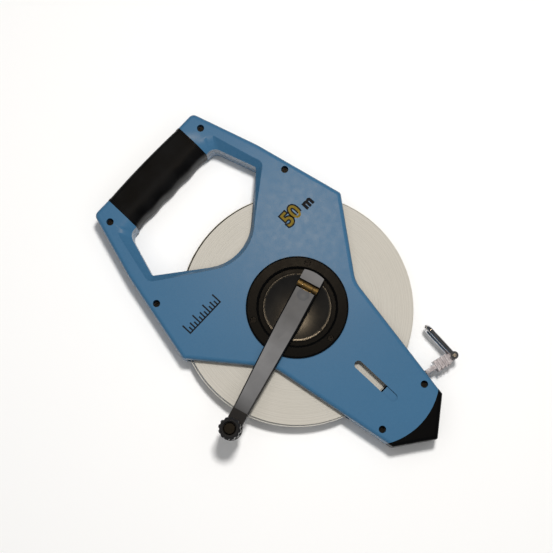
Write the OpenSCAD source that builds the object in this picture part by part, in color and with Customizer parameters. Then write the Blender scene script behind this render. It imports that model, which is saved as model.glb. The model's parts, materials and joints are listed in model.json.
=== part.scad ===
// Open-frame hand reel for a long measuring tape.
// The frame is two moulded shells that meet on a mid plane. A drum turns between them on a
// fixed axle and in a front ring, wound with tape and driven by a crank whose arm lifts on a hinge.
// Origin: spool axis at the back resting plane. +X runs to the nose, +Z to the crank side.

/* [Frame] */
// Thickness of the two joined shells
frame_t = 38; // [36:0.2:46]
// Wall thickness of the shells
wall = 2.5; // [2:0.1:3]
// Spool axis to the outer edge of the handle
handle_x = 180.3; // [170:0.1:217]
// Spool axis to the tip of the nose
nose_x = 160.8; // [156:0.1:193]
// Half width of the frame at its shoulders
shoulder_y = 97.5; // [92:0.1:118]
// Half width of the frame at the handle's corners
handle_y = 60.8; // [58:0.1:73]
// Half width of the frame at its waist
waist_y = 50.6; // [50:0.2:56]
// Half width of the frame where the nose cap starts
nose_y = 32; // [30:0.5:38]
// Roundness of the shells' long edges
edge_r = 3.5; // [2:0.25:4.5]
// Draft of each shell's side wall from the mid plane to its face
draft = 0.8; // [0.4:0.1:1.2]

/* [Hand opening] */
// Half width of the opening beside the grip
open_y = 51.5; // [48:0.5:54]
// Half width of the opening at its widest
open_wide_y = 64; // [60:0.5:66]
// Depth of the sloped band round the opening
band_depth = 6; // [3:0.5:7]

/* [Grip] */
// Half length of the rubber grip
grip_half = 43; // [38:0.5:46]
// Width of the rubber grip
grip_w = 33.5; // [30:0.5:37]
// Width of the frame's core inside the grip
core_w = 23; // [20:0.5:25]
// Thickness of the frame's core inside the grip
core_t = 22; // [18:0.5:26]

/* [Tape] */
// Width of the tape
tape_w = 13; // [10:0.2:16]
// Thickness of the tape
tape_t = 0.5; // [0.4:0.05:0.6]
// Outer radius of the wound tape
pack_r = 98; // [80:0.5:99]
// Radius of the drum that the tape is wound on
drum_r = 44; // [42:0.2:54]
// Gap between the wound tape and the shells that it passes through
pack_gap = 4.5; // [3.5:0.1:6]

/* [Hub] */
// Outer radius of the front bearing ring
ring_r = 43; // [42:0.2:46]
// Bore radius of the front bearing ring
ring_bore_r = 32.4; // [30:0.1:33]
// Height of the front bearing ring over the shell
ring_rise = 3.5; // [2:0.1:5]
// Radius of the steel axle
axle_r = 4; // [3:0.1:5]
// Radial running clearance of shafts in their bores
run_gap = 0.05; // [0.02:0.01:0.09]

/* [Crank] */
// Direction of the crank arm as stored, in degrees from +X
arm_angle = -75; // [-180:1:180]
// Spool axis to the knob's axis
arm_reach = 115.5; // [90:0.5:140]
// Width of the arm over the hub
arm_w = 18.6; // [16:0.2:20]
// Width of the arm at its tip
arm_tip_w = 14; // [11:0.2:16]
// Thickness of the arm
arm_t = 6; // [5:0.1:8]
// Spool axis to the hinge of the arm, on the side away from the knob
hinge_x = 18.5; // [17:0.1:22]
// Radius of the knob
knob_r = 9.2; // [8:0.1:12]
// Length of the knob
knob_len = 27; // [22:0.5:36]

/* [End hook] */
// Length of the end fitting from the mouth to the hook's pin
fitting_len = 28; // [24:0.5:36]
// Thickness of the end fitting over its ribs
fitting_t = 10; // [8:0.1:12]
// Length of the hook loop from its pin
hook_len = 35; // [30:0.5:44]
// Width of the hook loop
hook_w = 22; // [20:0.5:26]
// Thickness of the hook's wire
hook_t = 4.2; // [3:0.1:5]

/* [Hidden] */
$fn = 96;

eps = 0.01;
mid = frame_t/2;

// Frame outline
bend_along = 60;
bend_out = 2.8;
bend_x = -handle_x + bend_along;
shoulder_x = -40;
bend_y = handle_y + (shoulder_y - handle_y)*bend_along/(handle_x + shoulder_x) + bend_out;
rim_w = 4.5;
waist_x = 20.8;
nose_join_x = nose_x - 29;
nose_arc_r = 59.2;
nose_arc_x = nose_join_x - sqrt(nose_arc_r*nose_arc_r - nose_y*nose_y);
nose_arc_a = asin(nose_y/nose_arc_r);
nose_steps = 12;
wide_steps = 8;
nose_corner_x = nose_join_x + 6;
nose_corner_y = nose_y - 1;
tongue_len = 10;
tongue_w = 30;
tongue_t = 6;

// Grip: level rings from the flank to the flat face, and the finger waves of its inner side
grip_levels = 5;
grip_steps = 28;
grip_rise = mid - 0.5;
grip_proud = 1.2;
grip_flank = 5;
grip_outer_round = 4.5;
grip_slope = 12;
grip_drop = 9;
grip_waves = 4;
wave_h = 0.4;
core_x = -handle_x + 3.5;
core_wall = 3;

// Hand opening and the ridge of its sloped band
open_grip_x = -handle_x + 33.5;
open_wide_x = -handle_x + 72.2;
open_apex_x = -57;
ridge_grip_x = open_grip_x - 11;
ridge_y = open_y + 5.5;
ridge_wide_y = open_wide_y + 6.5;

// Viewing window along the middle of the nose arm
window_x0 = nose_x - 94;
window_x1 = nose_x - 47.7;
window_r = 3.5;

// Frame screws
screw_r = 1.5;
screw_head_r = 2.8;
screw_head_h = 2.2;
screw_recess_r = 3.1;
screw_recess_depth = 8;
boss_r = 5.4;
screw_hole_gap = 0.15;

// Tape path: the tape leaves the pack on a straight line through the mouth
lead_angle = 74.3;
lead_dir = [cos(lead_angle), sin(lead_angle), 0];
lead_gap = 4;
lead_dist = pack_r + lead_gap;
lead_normal = [sin(lead_angle), -cos(lead_angle), 0];
lead_start = -3;
pack_side_gap = 3.5;
slack = 0.7;
wall_slope = (nose_y - waist_y)/(nose_join_x - waist_x);
exit_along = (waist_y + wall_slope*(lead_dist*lead_normal.x - waist_x) - lead_dist*lead_normal.y)
    /(lead_dir.y - wall_slope*lead_dir.x);
mouth_w = 5;
mouth_gap = 1.5;
fitting_gap = 0.8;
tape_low = mid - tape_w/2;
roller_r = 3;
roller_pin_r = 1.2;
roller_gap = 0.6;
roller_along = exit_along - 24;

// Hub stack, from the back to the front
cap_t = 4;
cap_step = 0.3;
cap_spigot_r = ring_r - 7.6;
cap_boss_r = 9;
cap_boss_top = wall + cap_t + 5.3;
hub_low = cap_boss_top + 0.3;
hub_r = 13.5;
hub_top = frame_t - 8;
washer_t = 1;
clip_t = 0.9;
journal_r = ring_bore_r - run_gap;
journal_t = 2.9;
cup_r = journal_r - journal_t - 0.1;
seat_t = 5.5;
dish_depth = 2.6;
ring_top = frame_t + ring_rise;
ring_spigot_r = ring_r - 7.6;
ring_screw_circle = ring_r - 4.8;
ring_screw_r = 1.3;

// Crank heights
arm_low = ring_top + 1.5;
arm_mid = arm_low + arm_t/2;
bracket_low = hub_top + seat_t;
rim_top = ring_top - 2.6;
dish_low = rim_top - dish_depth;
dish_steps = 9;
bracket_seat = rim_top + 0.4;
bracket_top = arm_low - 0.5;
bracket_w = arm_w - 2;
bracket_end = ring_bore_r - 0.8;
bracket_screw_x = 10;
foot_len = 26;
foot_w = 12;
hinge_r = arm_t/2;
hinge_pin_r = 1.5;
hinge_mid_w = 9;
strip_end_x = -3;
tip_len = 17;
heel_gap = 0.6;
arm_x0 = -hinge_x + hinge_r + 0.8;
arm_x1 = arm_reach - tip_len;
arm_bend_x = 18;
arm_plate = 2.2;
arm_bevel = 1.1;
arm_bevel_h = 2;
arm_rib = 1.6;
rib_step = 20;
arm_wall = 3;
scoop_r = 12;
scoop_depth = 1.4;
scoop_x = arm_x0 + 4;
strip_low = 1.2;
strip_t = 1.6;
spindle_r = 3;
knob_low = arm_low + arm_t + 0.8;
knob_top = knob_low + knob_len;
flutes = 12;
flute_r = 1.5;

// End fitting and hook
fitting_w = tape_w + 3;
fitting_x0 = exit_along + fitting_gap;
fitting_x1 = exit_along + fitting_len;
fitting_neck = 9.5;
neck_t = 3.8;
rib_h = 1.1;
web_in = 0.8;
eye_r = 3.4;
fitting_body_x1 = fitting_x1 - eye_r - 0.6;
fitting_ribs = 4;
lead_grip = 15;
hook_pin_r = 1.5;
hook_angle = 175.6;
hook_bend_r = 5;

// Half width of the frame between the handle and the shoulder
function side_y(x) = x < bend_x
    ? handle_y + (bend_y - handle_y)*(x + handle_x)/(bend_x + handle_x)
    : bend_y + (shoulder_y - bend_y)*(x - bend_x)/(shoulder_x - bend_x);

screw_points = [
    for (side = [1, -1])
        for (p = [[nose_x - 39.7, 25.7], [-handle_x + 92, side_y(-handle_x + 92) - 8],
                  [-handle_x + 15.2, side_y(-handle_x + 15.2) - 10]])
            [p.x, side*p.y]
];

// Outlines are lists of corners, counter-clockwise: [x, y, radius, inset share of the next edge]
upper_side = [
    [nose_join_x, nose_y, 0, 1], [waist_x, waist_y, 25, 1], [shoulder_x, shoulder_y, 4, 1],
    [bend_x, bend_y, 120, 1], [-handle_x, handle_y, 6, 1]
];
frame_outline = concat(
    upper_side,
    [for (i = [len(upper_side) - 1:-1:1]) [upper_side[i].x, -upper_side[i].y, upper_side[i].z, 1]],
    [for (i = [0:nose_steps - 1])
        let (a = nose_arc_a*(2*i/nose_steps - 1))
        [nose_arc_x + nose_arc_r*cos(a), nose_arc_r*sin(a), 0, 0]]
);
nose_outline = [
    [nose_join_x, -nose_y, 0, 1], [nose_corner_x, -nose_corner_y, 1.5, 1], [nose_x, 0, 2.5, 1],
    [nose_corner_x, nose_corner_y, 1.5, 1], [nose_join_x, nose_y, 0, 0]
];
opening_outline = [
    [open_apex_x, 0, 41, 1], [open_wide_x, open_wide_y, 2.5, 1], [open_grip_x, open_y, 8, 1],
    [open_grip_x, -open_y, 8, 1], [open_wide_x, -open_wide_y, 2.5, 1]
];
ridge_outline = [
    [open_apex_x + 2, 0, 41, 1], [open_wide_x + 2, ridge_wide_y, 6, 1], [ridge_grip_x, ridge_y, 9, 1],
    [ridge_grip_x, -ridge_y, 9, 1], [open_wide_x + 2, -ridge_wide_y, 6, 1]
];

// Unit direction of the edge that starts at a corner
function edge_dir(P, i) =
    let (a = P[i], b = P[(i + 1) % len(P)], d = [b.x - a.x, b.y - a.y])
    d/norm(d);

// A corner moved inward so that its two edges move in by t times their shares
function inset_corner(P, i, t) =
    let (n = len(P), k = (i + n - 1) % n, d1 = edge_dir(P, k), d2 = edge_dir(P, i),
         n1 = [-d1.y, d1.x], n2 = [-d2.y, d2.x], t1 = t*P[k][3], t2 = t*P[i][3], c = n1*n2,
         p = [P[i].x, P[i].y])
    abs(t1 - t2) < 0.0001
        ? p + (n1 + n2)*t1/(1 + c)
        : p + n1*(t1 - c*t2)/(1 - c*c) + n2*(t2 - c*t1)/(1 - c*c);

// Points of the arc that rounds one corner
function corner_arc(Q, i, radius, t, steps) =
    let (n = len(Q), p = Q[i], u = p - Q[(i + n - 1) % n], v = Q[(i + 1) % n] - p,
         d1 = u/norm(u), d2 = v/norm(v), turn = atan2(d1.x*d2.y - d1.y*d2.x, d1*d2),
         side = sign(turn), r = max(0.2, radius - side*t), back = r*tan(abs(turn)/2),
         start = p - d1*back, centre = start + side*r*[-d1.y, d1.x], w = start - centre)
    [for (k = [0:steps]) let (a = turn*k/steps)
        centre + [w.x*cos(a) - w.y*sin(a), w.x*sin(a) + w.y*cos(a)]];

// The rounded outline, moved inward by t
function outline(P, t = 0) =
    let (Q = [for (i = [0:len(P) - 1]) inset_corner(P, i, t)])
    [for (i = [0:len(P) - 1])
        each P[i].z == 0 ? [Q[i]] : corner_arc(Q, i, P[i].z, t, P[i].z > 10 ? wide_steps : 5)];

// A closed solid through rings of equal length, from the lowest to the highest. Its caps are strips
// across the ring, where point i faces point (fold - i)
module loft(rings, fold) {
    n = len(rings[0]);
    points = [for (ring = rings) each ring];
    sides = [for (k = [0:len(rings) - 2]) for (i = [0:n - 1])
        let (j = (i + 1) % n, a = k*n + i, b = k*n + j)
        each [[a, a + n, b], [b, a + n, b + n]]];
    first = ceil(fold/2);
    count = n % 2 == 0 && fold % 2 == 1 ? n/2 - 1 : floor(n/2);
    strips = [for (i = [first:first + count - 1])
        let (a = i % n, b = (i + 1) % n, c = (fold - i - 1 + 2*n) % n, d = (fold - i + 2*n) % n)
        a == d ? [a, b, c] : b == c ? [a, b, d] : [a, b, c, d]];
    top = (len(rings) - 1)*n;
    lids = [for (strip = strips) [for (i = [len(strip) - 1:-1:0]) top + strip[i]]];
    polyhedron(points, concat(strips, sides, lids));
}

function lift(points, z) = [for (p = points) [p.x, p.y, z]];

// Half of a moulded body from the mid plane (z = 0) up, with draft and a rounded edge
module moulded_half(P, height, lean, r) {
    loft(concat(
        [lift(outline(P), 0)],
        [for (a = [0:22.5:90]) lift(outline(P, lean + r*(1 - cos(a))), height - r + r*sin(a))]
    ), len(outline(P)) - nose_steps);
}

// Crank parts are drawn along +X and turned to where the arm is stored
module on_crank() {
    rotate([0, 0, arm_angle])
        children();
}

// Tape parts are drawn with +X along the tape and their origin where the tape leaves the pack
module on_lead() {
    translate(lead_normal*lead_dist)
        rotate([0, 0, lead_angle])
            children();
}

// One shell as the front one, standing on the mid plane
module shell_body() {
    difference() {
        moulded_half(frame_outline, mid, draft, edge_r);
        shell_cavity();
        opening_cut();
        pack_clearance();
        grip_seat();
        mouth_cut();
        translate([nose_join_x - tongue_len, -tongue_w/2, -1])
            cube([tongue_len + 20, tongue_w, tongue_t/2 + 1]);
        for (p = screw_points)
            translate([p.x, p.y, -1])
                cylinder(r = screw_r + screw_hole_gap, h = mid - screw_recess_depth + 1 + eps);
    }
}

// Hollow of a shell, leaving its walls, the screw bosses and the solid rim round the opening
module shell_cavity() {
    translate([0, 0, -1])
        linear_extrude(mid - wall + 1)
            difference() {
                polygon(outline(frame_outline, wall + draft));
                polygon(outline(opening_outline, -wall - rim_w));
                translate([-handle_x - 5, -grip_half - 3])
                    square([grip_w + 10, 2*grip_half + 6]);
                translate([nose_join_x - 6, -nose_y])
                    square([20, 2*nose_y]);
                for (p = screw_points)
                    translate(p)
                        circle(boss_r);
            }
}

// Hand opening with the sloped band that leads the fingers into it
module opening_cut() {
    inner = outline(opening_outline);
    ridge = outline(ridge_outline);
    over = (band_depth + 1)/band_depth;
    loft([
        lift(inner, -1),
        lift(inner, mid - band_depth),
        lift([for (i = [0:len(inner) - 1]) inner[i] + (ridge[i] - inner[i])*over], mid + 1)
    ], wide_steps);
}

// Slot in the side walls where the wound tape stands out
module pack_clearance() {
    translate([0, 0, -1])
        cylinder(r = pack_r + pack_gap, h = tape_w/2 + pack_side_gap + 1);
}

// Seat of the rubber grip: everything outside the core, and the core's own hollow
module grip_seat() {
    difference() {
        translate([-handle_x - 5, -grip_half - 0.1, -1])
            cube([grip_w + 6, 2*grip_half + 0.2, mid + 2]);
        translate([core_x, -grip_half - 1, -2])
            cube([core_w, 2*grip_half + 2, core_t/2 + 2]);
    }
    translate([core_x + core_wall, -grip_half + core_wall, -1])
        cube([core_w - 2*core_wall, 2*grip_half - 2*core_wall, core_t/2 + 1 - core_wall]);
}

// Mouth in the side wall where the tape leaves
module mouth_cut() {
    translate([0, 0, -mid])
        on_lead()
            translate([exit_along - 9, -mouth_w/2, mid - 1])
                cube([20, mouth_w, tape_w/2 + mouth_gap + 1]);
}

module roller_holes() {
    for (side = [-1, 1])
        translate([0, 0, -mid])
            on_lead()
                translate([roller_along, side*(roller_r + roller_gap), mid - 1])
                    cylinder(r = roller_pin_r, h = mid - wall);
}

module roller_bosses() {
    for (side = [-1, 1])
        translate([0, 0, -mid])
            on_lead()
                translate([roller_along, side*(roller_r + roller_gap), mid + tape_w/2 + 1.8])
                    cylinder(r = roller_pin_r + 1.8, h = mid - tape_w/2 - 1.8 - wall + eps);
}

module front_shell() {
    color("steelblue")
        translate([0, 0, mid])
            difference() {
                union() {
                    shell_body();
                    translate([0, 0, mid - wall - 4])
                        cylinder(r = ring_r - 1, h = 4 + eps);
                    roller_bosses();
                }
                translate([0, 0, mid - wall - 5])
                    cylinder(r = ring_spigot_r + 0.1, h = wall + 6);
                for (p = screw_points)
                    translate([p.x, p.y, mid - screw_recess_depth])
                        cylinder(r = screw_recess_r, h = screw_recess_depth + 1);
                for (a = [0, 120, 240])
                    rotate([0, 0, a])
                        translate([ring_screw_circle, 0, mid - wall - 3])
                            cylinder(r = ring_screw_r, h = wall + 4);
                window_slot();
                roller_holes();
            }
}

// Viewing window over the edge of the wound tape
module window_slot() {
    translate([window_x0 + window_r, 0, mid - wall - 1])
        cylinder(r = window_r, h = wall + 2);
    translate([window_x1 - window_r, 0, mid - wall - 1])
        cylinder(r = window_r, h = wall + 2);
    translate([window_x0 + window_r, -window_r, mid - wall - 1])
        cube([window_x1 - window_x0 - 2*window_r, 2*window_r, wall + 2]);
}

module back_shell() {
    color("steelblue")
        translate([0, 0, mid])
            mirror([0, 0, 1])
                difference() {
                    union() {
                        shell_body();
                        roller_bosses();
                    }
                    translate([0, 0, mid - wall - 1])
                        cylinder(r = cap_spigot_r + 0.1, h = wall + 2);
                    for (a = [60, 180, 300])
                        rotate([0, 0, a])
                            translate([ring_screw_circle, 0, mid])
                                back_screw_space();
                    roller_holes();
                }
}

// Countersunk hole of a back cap screw, with its mouth at z = 0
module back_screw_space() {
    translate([0, 0, -wall - 1])
        cylinder(r = ring_screw_r + 0.1, h = wall + 2);
    translate([0, 0, -1.6])
        cylinder(r1 = ring_screw_r + 0.1, r2 = ring_screw_r + 1.8, h = 1.7);
}

// Rubber sleeve with finger waves on its inner side and a long slope into the opening
module handle_grip() {
    color("#151515")
        translate([0, 0, mid])
            difference() {
                loft([for (s = [-1, 1]) for (i = s < 0 ? [grip_levels:-1:0] : [0:grip_levels])
                    grip_ring(i, s)], 2*grip_steps + 1);
                translate([core_x - 0.05, -grip_half - 1, -core_t/2 - 0.05])
                    cube([core_w + 0.1, 2*grip_half + 2, core_t + 0.1]);
            }
}

// One level ring of the grip: level 0 is at the flank, the last one is the flat face
function grip_ring(i, s) =
    let (a = 90*i/grip_levels, outer = grip_outer_round*(1 - cos(a)), inner = grip_slope*(1 - cos(a)),
         z = s*(i == 0 ? grip_flank : grip_rise - grip_drop*(1 - sin(a))))
    concat(
        [for (k = [0:grip_steps]) let (y = grip_half*(1 - 2*k/grip_steps))
            [-handle_x - grip_proud + outer + grip_proud*pow(y/grip_half, 2), y, z]],
        [for (k = [0:grip_steps]) let (y = grip_half*(2*k/grip_steps - 1))
            [-handle_x - grip_proud + grip_w - inner + wave_h*cos(grip_waves*180*(y/grip_half + 1)), y, z]]
    );

// Tough black cap on the nose, held by a tongue between the shells
module nose_bumper() {
    half_t = mid - 0.3;
    lean = 0.6;
    angles = [0:22.5:90];
    high = [for (a = angles)
        lift(outline(nose_outline, lean + edge_r*(1 - cos(a))), half_t - edge_r + edge_r*sin(a))];
    low = [for (i = [len(high) - 1:-1:0]) [for (p = high[i]) [p.x, p.y, -p.z]]];
    color("#141414")
        translate([0, 0, mid])
            union() {
                difference() {
                    loft(concat(low, [lift(outline(nose_outline), 0)], high),
                         len(outline(nose_outline)) - 1);
                    translate([nose_arc_x, 0, -mid])
                        cylinder(r = nose_arc_r + 0.05, h = frame_t);
                }
                translate([nose_join_x - tongue_len + 0.2, -tongue_w/2 + 0.1, -tongue_t/2 + 0.1])
                    cube([tongue_len + 12, tongue_w - 0.2, tongue_t - 0.2]);
            }
}

module frame_screws() {
    color("#3a3d40")
        for (p = screw_points)
            translate([p.x, p.y, frame_t - screw_recess_depth])
                difference() {
                    union() {
                        cylinder(r = screw_head_r, h = screw_head_h);
                        translate([0, 0, -20])
                            cylinder(r = screw_r, h = 20);
                    }
                    cross_recess(screw_head_h, 2);
                }
}

// Cross slot in a screw head
module cross_recess(top, size) {
    for (a = [0, 90])
        rotate([0, 0, a])
            translate([-size, -0.4, top - 1.2])
                cube([2*size, 0.8, 2]);
}

// Ring with a flange on the face and a spigot through it; its bore carries the drum
module front_bearing_ring() {
    color("#101010")
        difference() {
            rotate_extrude()
                polygon([
                    [ring_bore_r, frame_t - wall - 4], [ring_spigot_r, frame_t - wall - 4],
                    [ring_spigot_r, frame_t], [ring_r, frame_t], [ring_r, ring_top - 1.2],
                    [ring_r - 1.2, ring_top], [ring_bore_r + 1.8, ring_top],
                    [ring_bore_r, ring_top - 1.8]
                ]);
            for (a = [0, 120, 240])
                rotate([0, 0, a])
                    translate([ring_screw_circle, 0, 0]) {
                        translate([0, 0, frame_t - 1])
                            cylinder(r = ring_screw_r + 0.1, h = ring_rise + 2);
                        translate([0, 0, ring_top - 1.8])
                            cylinder(r = ring_screw_r + 1.2, h = 2);
                    }
        }
}

module ring_screws() {
    color("#2b2b2b")
        for (a = [0, 120, 240])
            rotate([0, 0, a])
                translate([ring_screw_circle, 0, ring_top - 1.8])
                    difference() {
                        union() {
                            cylinder(r = ring_screw_r + 1, h = 1.4);
                            translate([0, 0, -ring_rise - wall - 0.8])
                                cylinder(r = ring_screw_r, h = ring_rise + wall + 0.8);
                        }
                        cross_recess(1.4, 1.5);
                    }
}

// Closed disc in the back shell that holds the axle
module back_bearing_cap() {
    color("#101010")
        difference() {
            union() {
                translate([0, 0, cap_step])
                    cylinder(r = cap_spigot_r, h = wall);
                translate([0, 0, wall])
                    cylinder(r = ring_r, h = cap_t);
                cylinder(r = cap_boss_r, h = cap_boss_top);
            }
            translate([0, 0, 2])
                cylinder(r = axle_r, h = cap_boss_top);
            for (a = [60, 180, 300])
                rotate([0, 0, a])
                    translate([ring_screw_circle, 0, wall - 1])
                        cylinder(r = ring_screw_r, h = cap_t);
        }
}

module back_cap_screws() {
    color("#2b2b2b")
        for (a = [60, 180, 300])
            rotate([0, 0, -a])
                translate([ring_screw_circle, 0, 0.1])
                    difference() {
                        union() {
                            cylinder(r1 = ring_screw_r + 1.5, r2 = ring_screw_r, h = 1.5);
                            cylinder(r = ring_screw_r, h = wall + 2.5);
                        }
                        translate([0, 0, -0.8])
                            cross_recess(1.2, 1.5);
                    }
}

module axle() {
    color("silver")
        difference() {
            translate([0, 0, 2])
                cylinder(r = axle_r, h = hub_top - 2 + washer_t + clip_t + 1.4);
            translate([0, 0, hub_top + washer_t + 0.1])
                difference() {
                    cylinder(r = axle_r + 1, h = clip_t + 0.1);
                    translate([0, 0, -1])
                        cylinder(r = axle_r - 0.7, h = clip_t + 3);
                }
        }
}

module axle_washer() {
    color("silver")
        translate([0, 0, hub_top + 0.05])
            difference() {
                cylinder(r = axle_r + 3.4, h = washer_t);
                translate([0, 0, -1])
                    cylinder(r = axle_r + 0.05, h = washer_t + 2);
            }
}

// Snap ring in the axle's groove
module axle_clip() {
    color("dimgray")
        translate([0, 0, hub_top + washer_t + 0.15])
            difference() {
                cylinder(r = axle_r + 2, h = clip_t);
                translate([0, 0, -1])
                    cylinder(r = axle_r - 0.65, h = clip_t + 2);
                translate([0, -1.5, -1])
                    cube([axle_r + 4, 3, clip_t + 2]);
            }
}

// Drum, web and hub in one moulding, with the journal that turns in the front ring
module spool_drum() {
    color("#1c1c1c")
        difference() {
            rotate_extrude()
                polygon([
                    [axle_r + run_gap, hub_low], [hub_r, hub_low], [hub_r, mid - 1.5],
                    [drum_r - 3, mid - 1.5], [drum_r - 3, tape_low - 1], [drum_r, tape_low - 1],
                    [drum_r, tape_low + tape_w + 1], [drum_r - 3, tape_low + tape_w + 1],
                    [drum_r - 3, mid + 1.5], [journal_r, mid + 1.5], [journal_r, rim_top - 0.4],
                    [journal_r - journal_t, rim_top - 0.4], [journal_r - journal_t, mid + 1.5],
                    [hub_r, mid + 1.5], [hub_r, hub_top], [axle_r + run_gap, hub_top]
                ]);
            on_crank()
                for (x = [-bracket_screw_x, bracket_screw_x])
                    translate([x, 0, hub_top - 8])
                        cylinder(r = ring_screw_r, h = 9);
            on_anchor()
                cylinder(r = 1.5, h = tape_w + 4);
        }
}

// Place of the pin that holds the tape's inner end, in the drum's wall
module on_anchor() {
    translate([-drum_r + 1.4, 0, tape_low - 2])
        children();
}

module tape_anchor_pin() {
    color("silver")
        on_anchor()
            translate([0, 0, 1.5])
                cylinder(r = 1.4, h = tape_w + 1);
}

// All wound turns but the last one
module tape_pack() {
    color("#e2dfd6")
        translate([0, 0, tape_low])
            difference() {
                cylinder(r = pack_r, h = tape_w, $fn = 180);
                translate([0, 0, -1])
                    cylinder(r = drum_r, h = tape_w + 2);
            }
}

// Last turn, slack on one side
module tape_outer_turn() {
    color("#efece4")
        translate([-(slack - 0.03)*cos(60), -(slack - 0.03)*sin(60), tape_low])
            difference() {
                cylinder(r = pack_r + slack + tape_t, h = tape_w, $fn = 180);
                translate([0, 0, -1])
                    cylinder(r = pack_r + slack, h = tape_w + 2, $fn = 180);
            }
}

// Glossy shallow dish inside the front ring, with a pocket for the foot of the crank's root
module hub_cup() {
    bore_r = axle_r + 4.2;
    dish_r = cup_r - 1;
    color("#3a3c3e")
        difference() {
            rotate_extrude()
                polygon(concat(
                    [[bore_r, hub_top]],
                    [for (i = [0:dish_steps])
                        let (r = bore_r + (dish_r - bore_r)*i/dish_steps)
                        [r, dish_low + dish_depth*pow(r/dish_r, 2)]],
                    [[cup_r, rim_top], [cup_r, rim_top - 3], [hub_r + 2.5, hub_top]]
                ));
            on_crank() {
                for (x = [-bracket_screw_x, bracket_screw_x])
                    translate([x, 0, hub_top - 1])
                        cylinder(r = ring_screw_r + 0.1, h = seat_t + 2);
                translate([-foot_len/2 - 0.1, -foot_w/2 - 0.1, bracket_low])
                    cube([foot_len + 0.2, foot_w + 0.2, dish_depth + 2]);
            }
        }
}

// Fixed root of the crank: a foot on the hub, a bar to the far side, and the end block
module crank_bracket() {
    color("#77797b")
        on_crank()
            difference() {
                union() {
                    translate([-foot_len/2, -foot_w/2, bracket_low])
                        cube([foot_len, foot_w, bracket_seat - bracket_low + eps]);
                    translate([-hinge_x - hinge_r, -bracket_w/2, bracket_seat])
                        cube([hinge_x + hinge_r + foot_len/2, bracket_w, bracket_top - bracket_seat]);
                    end_block();
                    for (s = [-1, 1])
                        translate([-hinge_x, s*(arm_w/2 + hinge_mid_w/2 + 0.3)/2, 0])
                            hinge_lug();
                }
                translate([-hinge_x, arm_w, arm_mid])
                    rotate([90, 0, 0])
                        cylinder(r = hinge_pin_r, h = 2*arm_w);
                for (x = [-bracket_screw_x, bracket_screw_x])
                    translate([x, 0, 0]) {
                        translate([0, 0, bracket_low - 1])
                            cylinder(r = ring_screw_r + 0.1, h = 20);
                        translate([0, 0, bracket_top - 1.8])
                            cylinder(r = ring_screw_r + 1.3, h = 3);
                    }
                translate([-hinge_x, -hinge_mid_w/2 - 0.3, arm_mid])
                    rotate([-90, 0, 0])
                        cylinder(r = hinge_r + 0.4, h = hinge_mid_w + 0.6);
            }
}

// Block that ends the crank on the side away from the knob, rounded to clear the ring's bore
module end_block() {
    intersection() {
        translate([-bracket_end, -arm_w/2, bracket_seat])
            cube([bracket_end - hinge_x - hinge_r - heel_gap, arm_w, arm_low + arm_t - bracket_seat]);
        translate([0, 0, bracket_seat])
            cylinder(r = bracket_end, h = arm_low);
    }
    translate([-hinge_x - hinge_r - 2, -bracket_w/2, bracket_seat])
        cube([4, bracket_w, bracket_top - bracket_seat]);
}

// Cheek of the hinge, standing on the bracket's bar
module hinge_lug() {
    lug_w = (arm_w - hinge_mid_w)/2 - 0.3;
    translate([0, lug_w/2, arm_mid])
        rotate([90, 0, 0])
            cylinder(r = hinge_r, h = lug_w);
    translate([-hinge_r, -lug_w/2, bracket_seat])
        cube([2*hinge_r, lug_w, arm_mid - bracket_seat]);
}

module bracket_screws() {
    color("silver")
        on_crank()
            for (x = [-bracket_screw_x, bracket_screw_x])
                translate([x, 0, bracket_top - 1.8])
                    difference() {
                        union() {
                            cylinder(r = ring_screw_r + 1.1, h = 1.5);
                            translate([0, 0, -(bracket_top - 1.8 - hub_top) - 6])
                                cylinder(r = ring_screw_r, h = bracket_top - 1.8 - hub_top + 6);
                        }
                        cross_recess(1.5, 1.5);
                    }
}

module hinge_pin() {
    color("silver")
        on_crank()
            translate([-hinge_x, arm_w/2, arm_mid])
                rotate([90, 0, 0])
                    cylinder(r = hinge_pin_r, h = arm_w);
}

// Brass knuckle of the arm, with a tongue that runs under the arm's top plate
module hinge_barrel() {
    color("#b08d3c")
        on_crank()
            difference() {
                union() {
                    translate([-hinge_x, hinge_mid_w/2, arm_mid])
                        rotate([90, 0, 0])
                            cylinder(r = hinge_r, h = hinge_mid_w);
                    translate([-hinge_x, -hinge_mid_w/2, arm_low + strip_low])
                        cube([hinge_x + strip_end_x, hinge_mid_w, strip_t]);
                }
                translate([-hinge_x, arm_w, arm_mid])
                    rotate([90, 0, 0])
                        cylinder(r = hinge_pin_r + run_gap, h = 2*arm_w);
            }
}

// Tapered arm of channel section, open below, with bevelled upper edges and a scoop by the hinge
module crank_arm() {
    color("#7f8183")
        on_crank()
            translate([0, 0, arm_low])
                difference() {
                    union() {
                        linear_extrude(arm_t - arm_bevel_h)
                            polygon(arm_plan(0));
                        loft([lift(arm_plan(0), arm_t - arm_bevel_h), lift(arm_plan(arm_bevel), arm_t)], 5);
                    }
                    translate([0, 0, -1])
                        linear_extrude(arm_t - arm_plate + 1)
                            difference() {
                                polygon(arm_plan(arm_bevel + 1));
                                translate([arm_x0 - 1, -arm_w])
                                    square([-arm_x0 + 3, 2*arm_w]);
                                for (x = [arm_bend_x:rib_step:arm_x1])
                                    translate([x, -arm_w])
                                        square([arm_rib, 2*arm_w]);
                                translate([arm_x1 - arm_wall, -arm_w])
                                    square([2*arm_wall, 2*arm_w]);
                            }
                    translate([arm_x0 - 1, -hinge_mid_w/2 - 0.1, strip_low - 0.1])
                        cube([strip_end_x - arm_x0 + 1.1, hinge_mid_w + 0.2, strip_t + 0.2]);
                    translate([scoop_x, 0, arm_t + scoop_r - scoop_depth])
                        sphere(r = scoop_r);
                }
}

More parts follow.
